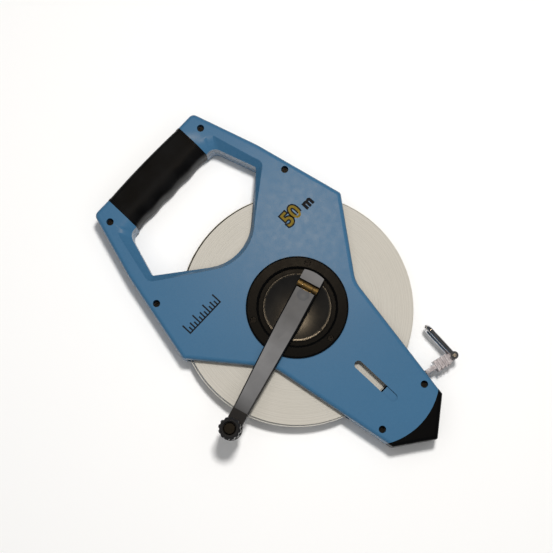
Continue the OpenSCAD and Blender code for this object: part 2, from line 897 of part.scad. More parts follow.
// Plan of the arm with its long sides moved in by t
function arm_plan(t) = [
    [arm_x0, t - arm_w/2], [arm_bend_x, t - arm_w/2], [arm_x1, t - arm_tip_w/2],
    [arm_x1, arm_tip_w/2 - t], [arm_bend_x, arm_w/2 - t], [arm_x0, arm_w/2 - t]
];

// Dark end of the arm with the round seat of the knob
module crank_tip() {
    color("#26282a")
        on_crank()
            translate([0, 0, arm_low])
                difference() {
                    union() {
                        translate([arm_x1, -arm_tip_w/2, 0])
                            cube([tip_len, arm_tip_w, arm_t]);
                        translate([arm_reach, 0, 0])
                            cylinder(r = knob_r + 0.4, h = arm_t);
                    }
                    translate([arm_reach, 0, -1])
                        cylinder(r = spindle_r, h = arm_t + 2);
                }
}

// Rivet that the knob turns on, with its head in the knob's recess
module knob_spindle() {
    color("silver")
        on_crank()
            translate([arm_reach, 0, 0]) {
                translate([0, 0, arm_low + 0.2])
                    cylinder(r = spindle_r, h = knob_top - arm_low - 2.8);
                translate([0, 0, knob_top - 2.7])
                    cylinder(r1 = spindle_r + 2.4, r2 = spindle_r + 1.4, h = 1.6);
            }
}

module knob_washer() {
    color("silver")
        on_crank()
            translate([arm_reach, 0, arm_low + arm_t])
                difference() {
                    cylinder(r = spindle_r + 3, h = 0.6);
                    translate([0, 0, -1])
                        cylinder(r = spindle_r + 0.05, h = 3);
                }
}

// Fluted knob with a recess round the rivet's head
module crank_knob() {
    color("#1d1e20")
        on_crank()
            translate([arm_reach, 0, 0])
                difference() {
                    rotate_extrude()
                        polygon([
                            [spindle_r + run_gap, knob_low], [knob_r - 1, knob_low],
                            [knob_r, knob_low + 1], [knob_r, knob_top - 2], [knob_r - 2, knob_top],
                            [spindle_r + 3.2, knob_top], [spindle_r + 3.2, knob_top - 3],
                            [spindle_r + run_gap, knob_top - 3]
                        ]);
                    for (i = [0:flutes - 1])
                        rotate([0, 0, 360*i/flutes])
                            translate([knob_r + 0.6, 0, knob_low + 3])
                                cylinder(r = flute_r, h = knob_len);
                }
}

// Straight run of tape from the pack through the mouth into the end fitting
module tape_lead() {
    color("#efece4")
        on_lead()
            translate([lead_start, -tape_t/2, tape_low])
                cube([exit_along + fitting_gap + lead_grip - lead_start, tape_t, tape_w]);
}

// Ribbed clamp on the tape's end: a thin neck, the ribbed body and the eye of the hook's pin
module end_fitting() {
    body_x0 = fitting_x0 + fitting_neck;
    body_len = fitting_body_x1 - body_x0;
    rib_pitch = body_len/fitting_ribs;
    eye_h = hook_w - 2*hook_t - 0.8;
    color("#b9aeb0")
        on_lead()
            difference() {
                union() {
                    translate([fitting_x0, -neck_t/2, mid - fitting_w/2 + web_in])
                        cube([fitting_neck + 1, neck_t, fitting_w - 2*web_in]);
                    translate([body_x0, -fitting_t/2 + rib_h, mid - fitting_w/2 + web_in])
                        cube([body_len, fitting_t - 2*rib_h, fitting_w - 2*web_in]);
                    for (i = [0:fitting_ribs - 1])
                        translate([body_x0 + i*rib_pitch, -fitting_t/2, mid - fitting_w/2])
                            cube([rib_pitch*0.55, fitting_t, fitting_w]);
                    translate([fitting_body_x1 - 1, -eye_r, mid - eye_h/2])
                        cube([fitting_x1 - fitting_body_x1 + 1, 2*eye_r, eye_h]);
                    translate([fitting_x1, 0, mid - eye_h/2])
                        cylinder(r = eye_r, h = eye_h);
                }
                translate([fitting_x0 - 1, -tape_t/2 - 0.05, mid - tape_w/2 - 0.05])
                    cube([lead_grip + 2, tape_t + 0.1, tape_w + 0.1]);
                translate([fitting_x1, 0, 0])
                    cylinder(r = hook_pin_r, h = frame_t);
            }
}

module hook_pin() {
    color("silver")
        on_lead()
            translate([fitting_x1, 0, mid - hook_w/2 - 0.6])
                cylinder(r = hook_pin_r, h = hook_w + 1.2);
}

// Loop of round wire, drawn along +X from its pivot and swung to the side of the tape
module end_hook() {
    wire_r = hook_t/2;
    straight = hook_len - hook_bend_r - wire_r;
    color("#c8ccd0")
        on_lead()
            translate([fitting_x1, 0, mid])
                rotate([0, 0, hook_angle - lead_angle])
                    difference() {
                        union() {
                            for (s = [-1, 1]) {
                                translate([0, 0, s*(hook_w/2 - wire_r) - wire_r])
                                    cylinder(r = eye_r, h = hook_t);
                                translate([0, 0, s*(hook_w/2 - wire_r)])
                                    rotate([0, 90, 0])
                                        cylinder(r = wire_r, h = straight);
                                translate([straight, 0, s*(hook_w/2 - wire_r - hook_bend_r)])
                                    rotate([90, s < 0 ? 90 : 0, 0])
                                        rotate_extrude(angle = 90)
                                            translate([hook_bend_r, 0])
                                                circle(wire_r);
                            }
                            translate([straight + hook_bend_r, 0, -(hook_w/2 - wire_r - hook_bend_r)])
                                cylinder(r = wire_r, h = hook_w - 2*wire_r - 2*hook_bend_r);
                        }
                        translate([0, 0, -frame_t])
                            cylinder(r = hook_pin_r + run_gap, h = 2*frame_t);
                    }
}

module roller_pins() {
    color("silver")
        for (side = [-1, 1])
            on_lead()
                translate([roller_along, side*(roller_r + roller_gap), wall + 1])
                    cylinder(r = roller_pin_r, h = frame_t - 2*wall - 2);
}

// Roller beside the tape in the mouth
module guide_roller(side) {
    color("#dcdcd6")
        on_lead()
            translate([roller_along, side*(roller_r + roller_gap), mid - tape_w/2 - 1.4])
                difference() {
                    cylinder(r = roller_r, h = tape_w + 2.8);
                    translate([0, 0, -1])
                        cylinder(r = roller_pin_r + run_gap, h = tape_w + 5);
                }
}

module guide_roller_left() {
    guide_roller(1);
}

module guide_roller_right() {
    guide_roller(-1);
}

back_shell();
front_shell();
handle_grip();
nose_bumper();
frame_screws();
front_bearing_ring();
ring_screws();
back_bearing_cap();
back_cap_screws();
axle();
axle_washer();
axle_clip();
spool_drum();
tape_anchor_pin();
tape_pack();
tape_outer_turn();
hub_cup();
crank_bracket();
bracket_screws();
hinge_pin();
crank_arm();
hinge_barrel();
crank_tip();
knob_spindle();
knob_washer();
crank_knob();
tape_lead();
end_fitting();
hook_pin();
end_hook();
roller_pins();
guide_roller_left();
guide_roller_right();
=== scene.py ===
"""Looks of an open-frame hand reel for a long measuring tape.

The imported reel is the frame. Visible CAD nodes are replaced by finished copies with broken edges,
and the wound tape, the grip's details, the printed marks and small trim are modelled here.
"""
import json
import math
import random
import bpy
from mathutils import Matrix, Vector

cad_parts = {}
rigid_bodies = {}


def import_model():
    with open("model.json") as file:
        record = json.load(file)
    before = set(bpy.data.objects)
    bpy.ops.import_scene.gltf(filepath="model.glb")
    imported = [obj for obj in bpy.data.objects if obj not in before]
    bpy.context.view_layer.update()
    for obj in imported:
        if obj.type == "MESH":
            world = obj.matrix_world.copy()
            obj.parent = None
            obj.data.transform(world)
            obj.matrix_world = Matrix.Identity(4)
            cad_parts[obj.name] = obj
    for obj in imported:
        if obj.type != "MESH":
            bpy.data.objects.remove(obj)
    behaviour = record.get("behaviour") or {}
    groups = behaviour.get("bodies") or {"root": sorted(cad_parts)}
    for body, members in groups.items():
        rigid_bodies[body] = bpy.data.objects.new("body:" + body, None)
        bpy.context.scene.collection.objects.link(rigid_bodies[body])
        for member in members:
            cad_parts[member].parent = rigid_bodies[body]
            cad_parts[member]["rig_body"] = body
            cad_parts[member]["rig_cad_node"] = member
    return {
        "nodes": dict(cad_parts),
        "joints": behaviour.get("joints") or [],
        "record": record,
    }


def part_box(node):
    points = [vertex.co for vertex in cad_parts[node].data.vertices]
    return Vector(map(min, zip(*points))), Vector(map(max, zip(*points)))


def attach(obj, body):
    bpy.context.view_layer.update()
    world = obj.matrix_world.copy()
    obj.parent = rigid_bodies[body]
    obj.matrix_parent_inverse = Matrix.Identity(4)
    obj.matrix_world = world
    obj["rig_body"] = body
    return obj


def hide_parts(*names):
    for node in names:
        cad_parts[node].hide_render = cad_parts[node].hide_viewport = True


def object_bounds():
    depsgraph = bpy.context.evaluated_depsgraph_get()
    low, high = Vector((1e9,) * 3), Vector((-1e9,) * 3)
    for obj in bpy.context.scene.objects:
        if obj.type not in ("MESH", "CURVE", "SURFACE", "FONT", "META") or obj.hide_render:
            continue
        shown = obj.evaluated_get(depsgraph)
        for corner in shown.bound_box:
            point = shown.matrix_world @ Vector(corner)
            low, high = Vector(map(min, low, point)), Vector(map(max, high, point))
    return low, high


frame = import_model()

CAD_BOX = [list(corner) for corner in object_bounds()]
MM = 0.001
WELD = 0.002 * MM  # points nearer than this are made one

# Places read from the frame, in metres
FACE_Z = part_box("front_shell")[1].z
NOSE_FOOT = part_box("nose_bumper")[0].x
PACK_LOW, PACK_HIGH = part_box("tape_pack")
GRIP_LOW, GRIP_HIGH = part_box("handle_grip")
FOLD = next(joint for joint in frame["joints"] if joint["name"] == "crank_fold")

# The tape, in mm
DRUM_R = 44
TAPE_T = 0.5


# ---------------------------------------------------------------- selecting and editing

def only(piece):
    """Makes one piece the active and only selected object."""
    if bpy.context.object and bpy.context.object.mode != "OBJECT":
        bpy.ops.object.mode_set(mode="OBJECT")
    bpy.ops.object.select_all(action="DESELECT")
    piece.select_set(True)
    bpy.context.view_layer.objects.active = piece


def edit(piece):
    """Opens one piece in edit mode with every point selected."""
    only(piece)
    bpy.ops.object.mode_set(mode="EDIT")
    bpy.ops.mesh.select_mode(type="VERT")
    bpy.ops.mesh.select_all(action="SELECT")


def close():
    """Goes back to object mode."""
    bpy.ops.object.mode_set(mode="OBJECT")


def apply_modifier(piece, kind, **settings):
    """Adds a modifier with these settings and applies it."""
    only(piece)
    modifier = piece.modifiers.new(kind.title(), kind)
    for key, value in settings.items():
        setattr(modifier, key, value)
    bpy.ops.object.modifier_apply(modifier=modifier.name)


def settle(piece):
    """Leaves the piece's place in its mesh, with its object at the origin."""
    only(piece)
    bpy.ops.object.transform_apply(location=True, rotation=True, scale=True)


def smooth(piece, angle=35):
    """Smooth shading up to an angle, with large faces keeping their own normals."""
    only(piece)
    bpy.ops.object.shade_smooth_by_angle(angle=math.radians(angle))
    apply_modifier(piece, "WEIGHTED_NORMAL", keep_sharp=True, weight=60)


def paint(piece, *materials):
    """Gives a piece these materials in place of what it has."""
    piece.data.materials.clear()
    for material in materials:
        piece.data.materials.append(material)


def belongs(piece, body, replaces=()):
    """Puts a finished piece on its body and hides the nodes it stands for."""
    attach(piece, body)
    if replaces:
        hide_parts(*replaces)
    return piece


def loose_copy(node, name):
    """A copy of a CAD node that is free to be reshaped. The node itself stays as it is."""
    cad = frame["nodes"][node]
    piece = cad.copy()
    piece.data = cad.data.copy()
    piece.name = piece.data.name = name
    piece.parent = None
    piece.hide_render = piece.hide_viewport = False
    del piece["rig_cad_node"]
    bpy.context.scene.collection.objects.link(piece)
    only(piece)
    bpy.ops.mesh.customdata_custom_splitnormals_clear()
    return piece


def dressed(node, slot, edge):
    """A copy of a CAD node with its flat faces joined and its sharp edges broken by edge mm."""
    flat, sharp = math.radians(0.4), math.radians(32)
    piece = loose_copy(node, node + "_finished")
    edit(piece)
    bpy.ops.mesh.remove_doubles(threshold=WELD)
    bpy.ops.mesh.mark_sharp(clear=True)
    bpy.ops.mesh.dissolve_limited(angle_limit=flat)
    close()
    apply_modifier(piece, "BEVEL", width=edge * MM, segments=2, limit_method="ANGLE",
                   angle_limit=sharp, harden_normals=False, loop_slide=False)
    smooth(piece)
    paint(piece, MATERIALS[slot])
    return belongs(piece, frame["nodes"][node]["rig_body"], [node])


def turned(name, profile, steps):
    """A closed body of revolution about Z, spun from its half profile of (r, z) in mm."""
    bpy.ops.object.select_all(action="DESELECT")
    bpy.ops.mesh.primitive_plane_add(size=MM, location=(0, 0, 0))
    piece = bpy.context.object
    piece.name = piece.data.name = name
    bpy.ops.object.mode_set(mode="EDIT")
    bpy.ops.mesh.select_mode(type="VERT")
    bpy.ops.mesh.select_all(action="SELECT")
    bpy.ops.mesh.merge(type="CENTER")
    bpy.ops.transform.translate(value=(profile[0][0] * MM, 0, profile[0][1] * MM))
    for start, end in zip(profile, profile[1:] + profile[:1]):
        step = ((end[0] - start[0]) * MM, 0, (end[1] - start[1]) * MM)
        bpy.ops.mesh.extrude_vertices_move(TRANSFORM_OT_translate={"value": step})
    bpy.ops.mesh.select_all(action="SELECT")
    bpy.ops.mesh.remove_doubles(threshold=WELD)
    bpy.ops.mesh.select_all(action="SELECT")
    bpy.ops.mesh.spin(steps=steps, angle=math.tau, center=(0, 0, 0), axis=(0, 0, 1))
    bpy.ops.mesh.select_all(action="SELECT")
    bpy.ops.mesh.remove_doubles(threshold=WELD)
    bpy.ops.mesh.normals_make_consistent(inside=False)
    close()
    return piece


def slab(name, x0, x1, y0, y1, z0, z1, edge):
    """A box between two corners, in mm, with rounded edges."""
    bpy.ops.object.select_all(action="DESELECT")
    middle = ((x0 + x1) / 2 * MM, (y0 + y1) / 2 * MM, (z0 + z1) / 2 * MM)
    bpy.ops.mesh.primitive_cube_add(size=1, location=middle)
    piece = bpy.context.object
    piece.name = piece.data.name = name
    piece.scale = ((x1 - x0) * MM, (y1 - y0) * MM, (z1 - z0) * MM)
    settle(piece)
    apply_modifier(piece, "BEVEL", width=edge * MM, segments=2)
    return piece


def joined(name, pieces):
    """Several pieces made one, each keeping its own closed mesh."""
    only(pieces[0])
    for piece in pieces[1:]:
        piece.select_set(True)
    bpy.ops.object.join()
    pieces[0].name = pieces[0].data.name = name
    return pieces[0]


# ---------------------------------------------------------------- materials

class Finish:
    """A principled material and the few nodes that its colour, roughness and bump are made of."""

    def __init__(self, name, colour, roughness, metallic=0.0, specular=0.5):
        self.material = bpy.data.materials.new(name)
        self.material.use_nodes = True
        self.tree = self.material.node_tree
        self.shader = self.tree.nodes["Principled BSDF"]
        self.shader.inputs["Base Color"].default_value = (*colour, 1)
        self.shader.inputs["Roughness"].default_value = roughness
        self.shader.inputs["Metallic"].default_value = metallic
        self.shader.inputs["Specular IOR Level"].default_value = specular
        self.place = self.tree.nodes.new("ShaderNodeTexCoord").outputs["Object"]
        self.normal = None

    def link(self, source, target):
        self.tree.links.new(source, target)

    def noise(self, scale, detail=4, stretch=None):
        """Noise in object space, with scale in cycles a metre, drawn out along an axis by stretch."""
        node = self.tree.nodes.new("ShaderNodeTexNoise")
        node.inputs["Scale"].default_value = scale
        node.inputs["Detail"].default_value = detail
        node.inputs["Roughness"].default_value = 0.5
        self.link(self.mapped(stretch) if stretch else self.place, node.inputs["Vector"])
        return node.outputs["Fac"]

    def cells(self, scale):
        """Distance to the nearest of many scattered points, for a pebbled skin."""
        node = self.tree.nodes.new("ShaderNodeTexVoronoi")
        node.feature = "F1"
        node.inputs["Scale"].default_value = scale
        self.link(self.place, node.inputs["Vector"])
        return node.outputs["Distance"]

    def mapped(self, stretch):
        """The object's own coordinates, scaled axis by axis."""
        node = self.tree.nodes.new("ShaderNodeMapping")
        node.inputs["Scale"].default_value = stretch
        self.link(self.place, node.inputs["Vector"])
        return node.outputs["Vector"]

    def reach(self, stretch):
        """Distance from the origin, in metres, with each axis stretched or left out."""
        length = self.tree.nodes.new("ShaderNodeVectorMath")
        length.operation = "LENGTH"
        self.link(self.mapped(stretch), length.inputs[0])
        return length.outputs["Value"]

    def span(self, source, low, high, out_low, out_high):
        """Maps the stretch low to high of a value to another stretch."""
        node = self.tree.nodes.new("ShaderNodeMapRange")
        ends = {"From Min": low, "From Max": high, "To Min": out_low, "To Max": out_high}
        for key, value in ends.items():
            node.inputs[key].default_value = value
        self.link(source, node.inputs["Value"])
        return node.outputs["Result"]

    def colours(self, source, *stops):
        """Colour from a value, through stops of (place, colour)."""
        node = self.tree.nodes.new("ShaderNodeValToRGB")
        ramp = node.color_ramp
        for place, colour in stops[2:]:
            ramp.elements.new(place)
        for element, (place, colour) in zip(ramp.elements, stops):
            element.position = place
            element.color = (*colour, 1)
        self.link(source, node.inputs["Fac"])
        return node.outputs["Color"]

    def mix(self, factor, first, second, kind="MIX"):
        """Two colours mixed by a factor. Each may be a plain value or a node's output."""
        node = self.tree.nodes.new("ShaderNodeMix")
        node.data_type = "RGBA"
        node.blend_type = kind
        sockets = (node.inputs[0], node.inputs[6], node.inputs[7])
        for value, socket in zip((factor, first, second), sockets):
            if isinstance(value, (int, float)):
                socket.default_value = value
            elif isinstance(value, tuple):
                socket.default_value = (*value, 1)
            else:
                self.link(value, socket)
        return node.outputs[2]

    def base(self, source):
        self.link(source, self.shader.inputs["Base Color"])

    def roughness(self, source):
        self.link(source, self.shader.inputs["Roughness"])

    def bump(self, source, depth, strength=1.0):
        """Adds relief of this depth in mm; later calls ride on the earlier ones."""
        node = self.tree.nodes.new("ShaderNodeBump")
        node.inputs["Strength"].default_value = strength
        node.inputs["Distance"].default_value = depth * MM
        self.link(source, node.inputs["Height"])
        if self.normal:
            self.link(self.normal, node.inputs["Normal"])
        self.normal = node.outputs["Normal"]
        self.link(self.normal, self.shader.inputs["Normal"])
        return self


def shade(colour, factor):
    """A colour made lighter or darker by a factor."""
    return tuple(channel * factor for channel in colour)


def moulded_skin(name, colour, roughness, specular=0.5, grain=0.012):
    """Skin of a moulding: fine spark texture, and roughness that varies with handling."""
    finish = Finish(name, colour, roughness, specular=specular)
    worn = finish.noise(160, 6)
    finish.roughness(finish.span(worn, 0.3, 0.7, roughness - 0.02, roughness + 0.03))
    finish.bump(finish.noise(2600, 2), grain).bump(finish.noise(320, 2), grain, 0.4)
    return finish


def moulded(name, colour, roughness, specular=0.5, grain=0.012):
    """Moulded plastic of one colour, with faint clouding."""
    finish = moulded_skin(name, colour, roughness, specular, grain)
    cloud = finish.noise(22, 3)
    finish.base(finish.colours(cloud, (0.3, shade(colour, 0.94)), (0.7, shade(colour, 1.06))))
    return finish.material


def shell_blue():
    """Mid-blue shells: satin, with rubbed streaks that turn a little paler and greyer."""
    blue = (0.044, 0.131, 0.238)
    finish = moulded_skin("shell blue", blue, 0.27, specular=0.16, grain=0.004)
    cloud = finish.colours(finish.noise(14, 3), (0.32, shade(blue, 0.98)), (0.68, shade(blue, 1.02)))
    streak = finish.span(finish.noise(420, 6, (0.4, 2.5, 1.0)), 0.62, 0.80, 0.0, 0.10)
    finish.base(finish.mix(streak, cloud, (0.085, 0.170, 0.265)))
    return finish.material


def grip_rubber():
    """Matt black rubber with a pebbled skin, greyer where it is handled, and a painted highlight line
    along its ridge.
    """
    finish = Finish("grip rubber", (0.010, 0.010, 0.011), 0.5, specular=0.05)
    handled = finish.noise(55, 4)
    skin = finish.colours(handled, (0.35, (0.003, 0.003, 0.0032)), (0.75, (0.007, 0.007, 0.0072)))
    # Painted highlight: a thin lighter line along the grip's ridge, where its slope catches the
    # light.
    black, ridge_highlight_grey = (0, 0, 0), (0.045, 0.045, 0.046)
    painted_ridge_highlight = finish.colours(finish.reach((1, 0, 0)), (0.1570, black), (0.1582, ridge_highlight_grey),
                          (0.1590, ridge_highlight_grey), (0.1602, black))
    finish.base(finish.mix(1.0, skin, painted_ridge_highlight, "ADD"))
    finish.roughness(finish.span(handled, 0.3, 0.7, 0.36, 0.50))
    finish.bump(finish.cells(950), 0.05, 0.6).bump(finish.noise(3800, 2), 0.008, 0.5)
    return finish.material


def crank_grey():
    """Grey moulded arm, scuffed lengthwise, with painted shade darkening it near the hub and at its
    far end.
    """
    grey = (0.158, 0.158, 0.162)
    finish = moulded_skin("crank grey", grey, 0.40, specular=0.16, grain=0.008)
    cloud = finish.colours(finish.noise(60, 5), (0.3, shade(grey, 0.86)), (0.7, shade(grey, 1.1)))
    scuff = finish.span(finish.noise(160, 5, (2.0, 0.35, 1.0)), 0.58, 0.74, 0.0, 0.35)
    unshaded = (1, 1, 1)
    # Painted shade: the grey is darkened near the hub and towards the far end, where the glare on the
    # arm falls off.
    painted_shade = finish.colours(finish.reach((1, 1, 0)), (0.012, shade(unshaded, 0.62)), (0.042, unshaded),
                          (0.085, shade(unshaded, 0.92)), (0.098, shade(unshaded, 0.45)))
    scuffed = finish.mix(scuff, cloud, (0.21, 0.208, 0.205))
    finish.base(finish.mix(1.0, scuffed, painted_shade, "MULTIPLY"))
    return finish.material


def gloss_dish():
    """Polished dark dish, faintly smeared."""
    finish = Finish("gloss dish", (0.012, 0.012, 0.012), 0.20, specular=0.34)
    smear = finish.noise(45, 4)
    finish.base(finish.colours(smear, (0.3, (0.005, 0.005, 0.005)), (0.7, (0.009, 0.009, 0.009))))
    finish.roughness(finish.span(smear, 0.3, 0.7, 0.18, 0.25))
    finish.bump(finish.noise(500, 3), 0.006, 0.5)
    return finish.material


def metal(name, colour, roughness, scratch=0.10, stretch=(1.0, 12.0, 1.0)):
    """Metal with fine directional marks and dulled patches."""
    finish = Finish(name, colour, roughness, metallic=1.0)
    marks = finish.noise(420, 5, stretch)
    dull = finish.noise(120, 3)
    brightest = max(0.03, roughness - scratch)
    finish.roughness(finish.span(marks, 0.25, 0.75, brightest, roughness + scratch))
    finish.base(finish.colours(dull, (0.3, shade(colour, 0.78)), (0.65, colour)))
    finish.bump(marks, 0.004, 0.6)
    return finish.material


def tape_edge():
    """Edges of the wound turns: cream, each turn a little lighter or darker than its neighbour."""
    finish = Finish("wound tape", (0.62, 0.60, 0.54), 0.6, specular=0.3)
    turns = finish.tree.nodes.new("ShaderNodeTexNoise")
    turns.noise_dimensions = "1D"
    turns.inputs["Scale"].default_value = 1 / (TAPE_T * MM)
    turns.inputs["Detail"].default_value = 3
    finish.link(finish.reach((1, 1, 0)), turns.inputs["W"])
    band = finish.colours(turns.outputs["Fac"], (0.30, (0.44, 0.415, 0.365)),
                          (0.50, (0.52, 0.49, 0.435)), (0.75, (0.56, 0.53, 0.475)))
    soil = finish.span(finish.noise(22, 5), 0.50, 0.75, 0.0, 0.25)
    finish.base(finish.mix(soil, band, (0.47, 0.45, 0.39)))
    finish.bump(turns.outputs["Fac"], 0.05, 0.5).bump(finish.noise(1500, 2), 0.01, 0.4)
    return finish.material


def tape_face():
    """Coated face of the tape, with a fine fibre grain along it."""
    finish = Finish("tape face", (0.70, 0.68, 0.62), 0.42, specular=0.4)
    fibre = finish.noise(900, 3, (0.2, 0.2, 5.0))
    finish.base(finish.colours(fibre, (0.3, (0.54, 0.51, 0.45)), (0.7, (0.68, 0.65, 0.58))))
    finish.bump(fibre, 0.01, 0.5)
    return finish.material


def clear_fitting():
    """Cloudy clear moulding, hazed and rubbed."""
    finish = Finish("clear fitting", (0.52, 0.46, 0.46), 0.28, specular=0.5)
    haze = finish.noise(260, 4)
    finish.base(finish.colours(haze, (0.3, (0.46, 0.40, 0.40)), (0.7, (0.62, 0.56, 0.56))))
    finish.roughness(finish.span(haze, 0.3, 0.7, 0.16, 0.30))
    finish.bump(finish.noise(500, 3), 0.012, 0.4)
    finish.shader.inputs["Transmission Weight"].default_value = 0.45
    finish.shader.inputs["IOR"].default_value = 1.49
    return finish.material


def print_ink(name, colour):
    """Printed ink: slightly worn, so that it is thin in spots."""
    finish = Finish(name, colour, 0.55, specular=0.06)
    thin = finish.noise(900, 4)
    finish.base(finish.colours(thin, (0.35, shade(colour, 0.75)), (0.6, colour)))
    finish.bump(thin, 0.004, 0.5)
    return finish.material


MATERIALS = {
    "shell_blue": shell_blue(),
    "black_rubber": grip_rubber(),
    "black_moulding": moulded("black moulding", (0.0030, 0.0030, 0.0031), 0.27, 0.04, 0.003),
    "dark_moulding": moulded("dark moulding", (0.012, 0.012, 0.013), 0.34, 0.16, 0.006),
    "dark_screws": metal("dark screws", (0.030, 0.030, 0.032), 0.48),
    "steel": metal("steel", (0.55, 0.55, 0.56), 0.28),
    "tape_white": tape_edge(),
    "gloss_dish": gloss_dish(),
    "crank_grey": crank_grey(),
    "brass_hinge": metal("brass", (0.62, 0.46, 0.21), 0.58, 0.06, (1, 3, 1)),
    "clear_fitting": clear_fitting(),
    "hook_chrome": metal("hook chrome", (0.74, 0.74, 0.76), 0.10, 0.05, (1, 1, 1)),
    "roller_white": moulded("roller white", (0.70, 0.70, 0.66), 0.4),
}
# A dark version of the crank's grey: painted shade for the sides of the arm and its root.
CRANK_SIDE_SHADE = moulded("crank side", (0.012, 0.012, 0.013), 0.42, 0.10)
TAPE_FACE = tape_face()
INK_DARK = print_ink("print dark", (0.012, 0.012, 0.014))
INK_GOLD = print_ink("print gold", (0.20, 0.140, 0.022))
RIVET_DULL = metal("dulled rivet", (0.045, 0.043, 0.040), 0.55)


def finish_of(node):
    """The material slot that the record gives a node."""
    for row in frame["record"]["subparts"]:
        if row["node"] == node:
            return row["material_slot"]
    raise ValueError(node)


# ---------------------------------------------------------------- pieces

# Width in mm that each node's sharp edges are broken by
EDGES = {
    "front_shell": 0.45, "back_shell": 0.45, "handle_grip": 0.8, "nose_bumper": 0.6,
    "front_bearing_ring": 0.25, "back_bearing_cap": 0.4, "spool_drum": 0.3, "hub_cup": 0.25,
    "crank_bracket": 0.4, "crank_arm": 0.35, "crank_tip": 0.7, "crank_knob": 0.4,
    "hinge_barrel": 0.2, "end_fitting": 0.35, "frame_screws": 0.15, "ring_screws": 0.12,
    "back_cap_screws": 0.12, "bracket_screws": 0.12, "knob_spindle": 0.25, "knob_washer": 0.1,
    "hook_pin": 0.2, "hinge_pin": 0.2, "axle": 0.3, "axle_washer": 0.1, "axle_clip": 0.1,
    "tape_outer_turn": 0.08, "tape_lead": 0.08, "end_hook": 0.3, "roller_pins": 0.15,
    "guide_roller_left": 0.3, "guide_roller_right": 0.3, "tape_anchor_pin": 0.15,
}


def finish_nodes():
    """Finished copies of the CAD nodes, by the node's name."""
    return {node: dressed(node, finish_of(node), edge) for node, edge in EDGES.items()}


def paint_side_shade(piece):
    """Gives every face that doesn't look straight up a dark version of the crank's grey: painted
    shade on its sides.
    """
    upward = 0.85
    piece.data.materials.append(CRANK_SIDE_SHADE)
    for face in piece.data.polygons:
        if face.normal.z < upward:
            face.material_index = 1


def brass_cheeks(piece):
    """Gives the hinge cheeks of the crank's root the brass of the knuckle between them."""
    piece.data.materials.append(MATERIALS["brass_hinge"])
    cheek_r, cheek_foot = 3.3 * MM, -0.5 * MM
    pin, along = Vector(FOLD["pos_m"]), Vector(FOLD["axis"]).normalized()
    for face in piece.data.polygons:
        offset = face.center - pin
        from_pin = (offset - along * offset.dot(along)).length
        if from_pin < cheek_r and offset.z > cheek_foot:
            face.material_index = 2


def matt_rim(piece):
    """Gives the dish's rim the matt black of the ring round it."""
    rim_r = 27.8 * MM
    piece.data.materials.append(MATERIALS["black_moulding"])
    corners = piece.data.vertices
    for face in piece.data.polygons:
        if min(math.hypot(*corners[i].co.xy) for i in face.vertices) > rim_r:
            face.material_index = 1


def wound_turns():
    """The wound tape: every turn stands a little higher or lower than the one beside it."""
    draw = random.Random(7)
    sink, groove, corner = 0.16, 0.12, 0.1  # mm, share of a turn, mm
    pack_r = PACK_HIGH.x / MM
    low, high = PACK_LOW.z / MM, PACK_HIGH.z / MM
    count = round((pack_r - DRUM_R) / TAPE_T)
    heights = [high - draw.uniform(0.0, sink) for _ in range(count)]
    top = []
    for i, z in enumerate(heights):
        top.append((DRUM_R + (i + groove) * TAPE_T, z))
        top.append((DRUM_R + (i + 1 - groove) * TAPE_T, z))
    bottom = [(r, low + high - z) for r, z in reversed(top)]
    outer = [(pack_r, top[-1][1] - corner), (pack_r, bottom[0][1] + corner)]
    core = [(DRUM_R, bottom[-1][1] + corner), (DRUM_R, top[0][1] - corner)]
    piece = turned("wound_turns", top + outer + bottom + core, steps=112)
    smooth(piece, 20)
    paint(piece, MATERIALS["tape_white"])
    return belongs(piece, "reel", ["tape_pack"])


def printed(name, words, size, x, y, material, height, spread):
    """Characters printed flat on the front shell, reading along +Y, with their foot at (x, y).

    Size, height and spread are in mm. Spread makes the strokes that much bolder.
    """
    bpy.ops.object.select_all(action="DESELECT")
    bpy.ops.object.text_add(location=(0, 0, 0))
    piece = bpy.context.object
    piece.name = name
    piece.data.body = words
    piece.data.size = size * MM
    piece.data.extrude = height * MM
    piece.data.offset = spread * MM
    piece.data.align_x = "LEFT"
    bpy.ops.object.convert(target="MESH")
    piece = bpy.context.object
    piece.data.name = name
    clear = 0.01 * MM
    piece.location = (x * MM, y * MM, FACE_Z + clear)
    piece.rotation_euler = (0, 0, math.pi / 2)
    settle(piece)
    paint(piece, material)
    return belongs(piece, "frame")


def length_mark():
    """The tape's length in metres, gold figures with a dark outline and a small dark unit."""
    size, x, y = 17.5, -51.4, 44.6
    printed("length_figures_outline", "50", size, x, y, INK_DARK, height=0.02, spread=1.45)
    printed("length_figures", "50", size, x, y, INK_GOLD, height=0.045, spread=0.22)
    printed("length_unit", "m", 12.0, -51.2, 66.2, INK_DARK, height=0.03, spread=0.75)


def ruler_ticks():
    """A plain row of ruler ticks printed beside the hub."""
    ticks = []
    lengths = (9.0, 4.2, 6.2, 4.2)
    step, first, count, foot = 3.0, -77.0, 13, -50.4
    half, edge = 0.65, 0.01
    low, high = FACE_Z / MM - 0.02, FACE_Z / MM + 0.03
    for i in range(count):
        length = lengths[i % len(lengths)]
        y = first + step * i
        ticks.append(slab("tick", foot - length, foot, y - half, y + half, low, high, edge))
    last = first + step * (count - 1)
    ticks.append(slab("tick", foot - 0.4, foot + 0.8, first - half, last + half, low, high, edge))
    piece = joined("ruler_ticks", ticks)
    paint(piece, INK_DARK)
    return belongs(piece, "frame")


def window_ledge():
    """Moulded ledge inside the front shell, under the outer end of the window."""
    foot, face, half = NOSE_FOOT / MM, FACE_Z / MM, 5.2
    piece = slab("window_ledge", foot - 22, foot - 7.5, -half, half, face - 6.5, face - 2.4, 0.4)
    smooth(piece)
    paint(piece, MATERIALS["shell_blue"])
    return belongs(piece, "frame")


